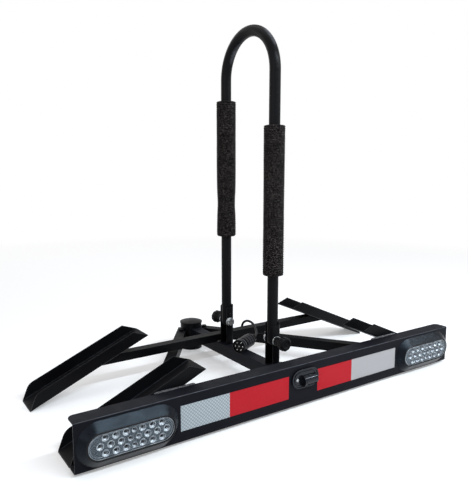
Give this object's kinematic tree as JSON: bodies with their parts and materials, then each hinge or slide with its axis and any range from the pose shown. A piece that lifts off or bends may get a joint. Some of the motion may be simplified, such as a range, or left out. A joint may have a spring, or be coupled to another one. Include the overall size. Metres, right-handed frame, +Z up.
{
  "type": "hitch bike rack",
  "caption": "Tow-ball bike rack with a light panel, sloping wheel trays, a padded fold-down hoop, tail lamps and a trailer plug on a cable.",
  "frame": {"origin": "the tow ball's centre when the rack sits on it, on the socket's axis", "axes": "+X to the right along the light panel as seen from behind the vehicle, +Y towards the vehicle, +Z up"},
  "size_m": [1, 0.5555, 0.8305],
  "materials": {
    "black_powder_coat": "satin black powder coat",
    "zinc": "bright zinc plate",
    "weld": "bare weld metal, grainy",
    "black_plastic": "moulded, slightly glossy",
    "foam": "ribbed closed-cell foam",
    "cable_rubber": "smooth cable sheath",
    "clear_lens": "clear moulded plastic",
    "reflector": "bright vacuum-coated plastic",
    "led": "clear domed light",
    "board": "circuit board",
    "white_tape": "white prismatic reflective tape",
    "red_tape": "red prismatic reflective tape",
    "plug_plastic": "ribbed moulded plastic",
    "contacts": "nickel-plated brass"
  },
  "bodies": {
    "frame": {"apex_plate": "black_powder_coat", "ball_stop": "black_powder_coat", "cable_grommet": "cable_rubber", "clamp_nut": "zinc", "clamp_washers": "zinc", "far_bracket": "black_powder_coat", "far_crossbar": "black_powder_coat", "far_left_tray": "black_powder_coat", "far_pivot_bolt": "zinc", "far_right_tray": "black_powder_coat", "hub_cap": "black_plastic", "hub_socket": "black_powder_coat", "lamp_wiring": "cable_rubber", "left_lamp_bezel": "black_plastic", "left_lamp_board": "board", "left_lamp_housing": "black_plastic", "left_lamp_leds": "led", "left_lamp_lens": "clear_lens", "left_lamp_reflector": "reflector", "left_red_tape": "red_tape", "left_strut": "black_powder_coat", "left_strut_plate": "black_powder_coat", "left_white_tape": "white_tape", "light_panel": "black_powder_coat", "near_bracket": "black_powder_coat", "near_left_tray": "black_powder_coat", "near_pivot_bolt": "zinc", "near_right_tray": "black_powder_coat", "pivot_washers": "zinc", "plate_lamp_base": "black_plastic", "plate_lamp_hood": "black_plastic", "plate_lamp_lens": "clear_lens", "plate_lamp_screw": "zinc", "plug_cable": "cable_rubber", "plug_gland_nut": "plug_plastic", "plug_insert": "black_plastic", "plug_pins": "contacts", "plug_shell": "plug_plastic", "right_lamp_bezel": "black_plastic", "right_lamp_board": "board", "right_lamp_housing": "black_plastic", "right_lamp_leds": "led", "right_lamp_lens": "clear_lens", "right_lamp_reflector": "reflector", "right_red_tape": "red_tape", "right_strut": "black_powder_coat", "right_strut_plate": "black_powder_coat", "right_white_tape": "white_tape", "spine_tube": "black_powder_coat", "stop_rivets": "black_powder_coat", "strut_bolts": "black_powder_coat", "weld_beads": "weld"},
    "hoop": {"hoop_tube": "black_powder_coat", "hoop_end_plugs": "black_plastic", "near_sleeve": "foam", "far_sleeve": "foam"},
    "near_knob": {"near_knob": "black_plastic"},
    "far_knob": {"far_knob": "black_plastic"},
    "clamp_bolt": {"clamp_bolt": "zinc"}
  },
  "joints": [
    {"name": "hoop_fold", "type": "hinge", "parent": "frame", "child": "hoop", "pos_m": [0, -0.283, 0.095], "axis": [0, -1, 0], "range_deg": [0, 80]},
    {"name": "near_knob_turn", "type": "hinge", "parent": "frame", "child": "near_knob", "pos_m": [0, -0.408, 0.095], "axis": [0, -1, 0], "continuous": true},
    {"name": "far_knob_turn", "type": "hinge", "parent": "frame", "child": "far_knob", "pos_m": [0, -0.158, 0.095], "axis": [0, 1, 0], "continuous": true},
    {"name": "clamp_bolt_turn", "type": "hinge", "parent": "frame", "child": "clamp_bolt", "pos_m": [0, 0.04, 0], "axis": [-1, 0, 0], "continuous": true}
  ]
}
